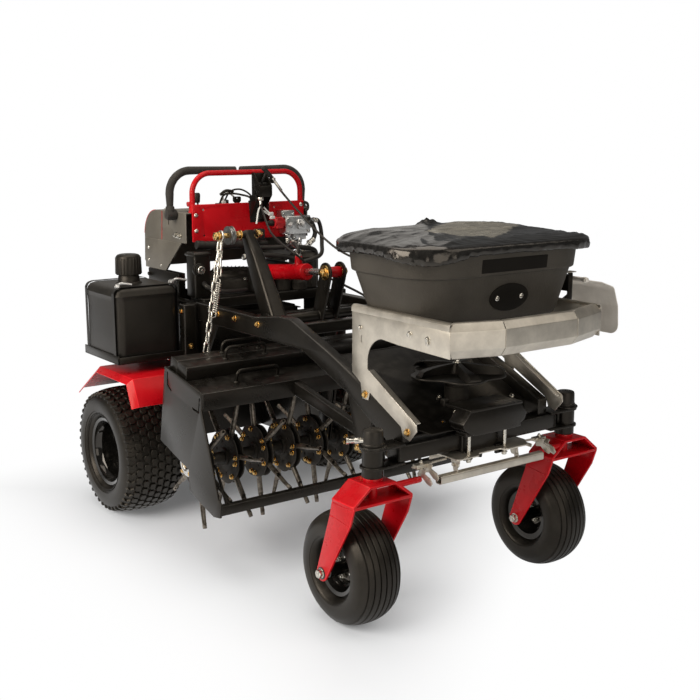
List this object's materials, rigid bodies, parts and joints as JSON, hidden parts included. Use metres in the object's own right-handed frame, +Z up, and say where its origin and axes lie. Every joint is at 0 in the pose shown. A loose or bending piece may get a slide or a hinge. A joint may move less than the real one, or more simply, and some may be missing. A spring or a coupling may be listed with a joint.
{
  "type": "stand-on lawn aerator",
  "caption": "Stand-on lawn aerator: open front frame on swivel casters, hydraulic tine unit with weights, covered spreader hopper, lever console and rear foot platform.",
  "frame": {"origin": "on the floor under the middle of the machine's bounding box", "axes": "+Z up, -Y the way the machine drives (hopper end), +X the operator's left hand"},
  "size_m": [1.33, 2.255, 1.3785],
  "materials": {
    "red_paint": "gloss red paint",
    "black_powder_coat": "satin black powder coat",
    "black_gloss_paint": "gloss black paint",
    "tyre_rubber": "matt black tyre rubber",
    "black_rubber": "black hose and cable sheath",
    "black_foam": "black foam grip",
    "pad_vinyl": "black coated fabric over foam",
    "grey_console_paint": "grey textured paint",
    "black_plastic": "black moulded plastic",
    "charcoal_plastic": "textured charcoal plastic",
    "stainless_sheet": "folded stainless sheet",
    "bright_zinc": "bright zinc plate",
    "chrome_rod": "polished chrome",
    "cast_iron": "dark cast metal",
    "black_cover_film": "shiny black coated cloth"
  },
  "bodies": {
    "chassis": {"main_frame": "black_powder_coat", "axle_beam": "black_powder_coat", "front_deck": "black_powder_coat", "lock_bracket": "stainless_sheet", "caster_cap_right": "black_plastic", "caster_cap_left": "black_plastic", "wheel_motor_right": "cast_iron", "wheel_motor_left": "cast_iron", "fender_right": "red_paint", "fender_left": "red_paint", "console_body": "grey_console_paint", "front_panel": "red_paint", "control_bracket": "black_powder_coat", "thigh_pad": "pad_vinyl", "engine": "cast_iron", "oil_filter_box": "black_powder_coat", "fuel_tank": "black_plastic", "valve_block": "bright_zinc", "pressure_hose": "black_rubber", "return_hose": "black_rubber", "gate_cable": "black_rubber", "deflector_cable": "black_rubber", "hopper": "charcoal_plastic", "spreader_frame": "stainless_sheet", "deflector_bracket": "black_powder_coat", "spinner_motor": "cast_iron"},
    "cover": {"hopper_cover": "black_cover_film"},
    "right_caster_fork": {"caster_fork_right": "red_paint"},
    "left_caster_fork": {"caster_fork_left": "red_paint"},
    "right_caster_wheel": {"caster_rim_right": "black_gloss_paint", "caster_tyre_right": "tyre_rubber"},
    "left_caster_wheel": {"caster_rim_left": "black_gloss_paint", "caster_tyre_left": "tyre_rubber"},
    "right_drive_wheel": {"drive_rim_right": "black_gloss_paint", "drive_tyre_right": "tyre_rubber"},
    "left_drive_wheel": {"drive_rim_left": "black_gloss_paint", "drive_tyre_left": "tyre_rubber"},
    "caster_lock": {"caster_lock_bar": "stainless_sheet"},
    "tine_unit": {"tine_frame": "black_powder_coat", "rear_weight": "black_powder_coat", "middle_weight": "black_powder_coat", "front_weight": "black_powder_coat"},
    "right_tine_rotor": {"tine_rotor_right": "cast_iron"},
    "left_tine_rotor": {"tine_rotor_left": "cast_iron"},
    "lift_crank": {"lift_arm": "black_powder_coat"},
    "lift_chain_and_spring": {"lift_chain": "bright_zinc", "chain_spring": "bright_zinc"},
    "cylinder": {"lift_cylinder": "red_paint"},
    "rod": {"cylinder_rod": "chrome_rod"},
    "right_steering_lever": {"drive_lever_right": "black_foam"},
    "left_steering_lever": {"drive_lever_left": "black_foam"},
    "throttle": {"throttle_lever": "black_plastic"},
    "choke": {"choke_knob": "red_paint"},
    "key": {"ignition_key": "black_plastic"},
    "rate_lever": {"gate_lever": "black_plastic"},
    "rate_gate": {"gate_plate": "black_plastic"},
    "spinner_disc": {"spinner": "black_plastic"},
    "side_deflector": {"deflector": "stainless_sheet"},
    "platform": {"foot_platform": "black_powder_coat"},
    "tank_cap": {"fuel_cap": "black_plastic"}
  },
  "joints": [
    {"name": "right_caster_swivel", "type": "hinge", "parent": "chassis", "child": "right_caster_fork", "pos_m": [-0.414, -0.8525, 0.5], "axis": [0, 0, 1], "continuous": true},
    {"name": "left_caster_swivel", "type": "hinge", "parent": "chassis", "child": "left_caster_fork", "pos_m": [0.414, -0.8525, 0.5], "axis": [0, 0, 1], "continuous": true},
    {"name": "right_caster_roll", "type": "hinge", "parent": "right_caster_fork", "child": "right_caster_wheel", "pos_m": [-0.414, -0.7425, 0.184], "axis": [1, 0, 0], "continuous": true},
    {"name": "left_caster_roll", "type": "hinge", "parent": "left_caster_fork", "child": "left_caster_wheel", "pos_m": [0.414, -0.7425, 0.184], "axis": [1, 0, 0], "continuous": true},
    {"name": "right_drive_roll", "type": "hinge", "parent": "chassis", "child": "right_drive_wheel", "pos_m": [-0.505, 0.6475, 0.254], "axis": [1, 0, 0], "continuous": true},
    {"name": "left_drive_roll", "type": "hinge", "parent": "chassis", "child": "left_drive_wheel", "pos_m": [0.505, 0.6475, 0.254], "axis": [1, 0, 0], "continuous": true},
    {"name": "caster_lock_swing", "type": "hinge", "parent": "chassis", "child": "caster_lock", "pos_m": [0, -0.9025, 0.5], "axis": [1, 0, 0], "range_deg": [-35, 0]},
    {"name": "tine_lift", "type": "hinge", "parent": "chassis", "child": "tine_unit", "pos_m": [0, -0.6225, 0.52], "axis": [1, 0, 0], "range_deg": [-14, 0]},
    {"name": "right_tine_roll", "type": "hinge", "parent": "tine_unit", "child": "right_tine_rotor", "pos_m": [0, -0.0075, 0.362], "axis": [1, 0, 0], "continuous": true},
    {"name": "left_tine_roll", "type": "hinge", "parent": "tine_unit", "child": "left_tine_rotor", "pos_m": [0, -0.0075, 0.362], "axis": [1, 0, 0], "continuous": true},
    {"name": "lift_crank_turn", "type": "hinge", "parent": "chassis", "child": "lift_crank", "pos_m": [0, -0.0225, 0.84], "axis": [1, 0, 0], "range_deg": [-45.5, 0]},
    {"name": "lift_chain_swing", "type": "hinge", "parent": "lift_crank", "child": "lift_chain_and_spring", "pos_m": [-0.338, 0.1575, 1.14], "axis": [1, 0, 0], "range_deg": [0, 27]},
    {"name": "cylinder_swing", "type": "hinge", "parent": "chassis", "child": "cylinder", "pos_m": [0, 0.4475, 0.955], "axis": [1, 0, 0], "range_deg": [0, 0.25]},
    {"name": "rod_stroke", "type": "slide", "parent": "cylinder", "child": "rod", "axis": [0, -0.9952, 0.0978], "range_m": [-0.1345, 0]},
    {"name": "right_steering_push", "type": "hinge", "parent": "chassis", "child": "right_steering_lever", "pos_m": [-0.314, 0.6025, 1.19], "axis": [1, 0, 0], "range_deg": [-14, 14]},
    {"name": "left_steering_push", "type": "hinge", "parent": "chassis", "child": "left_steering_lever", "pos_m": [0.314, 0.6025, 1.19], "axis": [1, 0, 0], "range_deg": [-14, 14]},
    {"name": "throttle_push", "type": "hinge", "parent": "chassis", "child": "throttle", "pos_m": [-0.2, 0.5825, 1.2084], "axis": [1, 0, 0], "range_deg": [-20, 20]},
    {"name": "choke_pull", "type": "slide", "parent": "chassis", "child": "choke", "axis": [0, 0, 1], "range_m": [0, 0.02]},
    {"name": "key_turn", "type": "hinge", "parent": "chassis", "child": "key", "pos_m": [-0.03, 0.5625, 1.2004], "axis": [0, 0, 1], "range_deg": [0, 90]},
    {"name": "rate_lever_push", "type": "hinge", "parent": "chassis", "child": "rate_lever", "pos_m": [0.0425, 0.49, 1.305], "axis": [1, 0, 0], "range_deg": [-20, 20]},
    {"name": "rate_gate_turn", "type": "hinge", "parent": "chassis", "child": "rate_gate", "pos_m": [0, -0.7825, 0.874], "axis": [0, 0, 1], "range_deg": [-20, 20]},
    {"name": "spinner_turn", "type": "hinge", "parent": "chassis", "child": "spinner_disc", "pos_m": [0, -0.7585, 0.742], "axis": [0, 0, 1], "continuous": true},
    {"name": "side_deflector_swing", "type": "hinge", "parent": "chassis", "child": "side_deflector", "pos_m": [0.3818, -0.856, 1.04], "axis": [0, 1, 0], "range_deg": [0, 30]},
    {"name": "platform_fold", "type": "hinge", "parent": "chassis", "child": "platform", "pos_m": [0, 0.9249, 0.191], "axis": [1, 0, 0], "range_deg": [0, 85]},
    {"name": "tank_cap_turn", "type": "hinge", "parent": "chassis", "child": "tank_cap", "pos_m": [-0.53, 0.5425, 0.975], "axis": [0, 0, 1], "range_deg": [0, 360]},
    {"name": "cover_lift_off", "type": "slide", "parent": "chassis", "child": "cover", "axis": [0, 0, 1], "range_m": [0, 0.2]}
  ],
  "couplings": [
    {"joint": "lift_crank_turn", "follows": "tine_lift", "ratio": 3.2286},
    {"joint": "lift_chain_swing", "follows": "tine_lift", "ratio": -1.902},
    {"joint": "cylinder_swing", "follows": "tine_lift", "ratio": -0.0133},
    {"joint": "rod_stroke", "follows": "tine_lift", "m_per_rad": 0.5443},
    {"joint": "rate_gate_turn", "follows": "rate_lever_push", "ratio": 1}
  ]
}
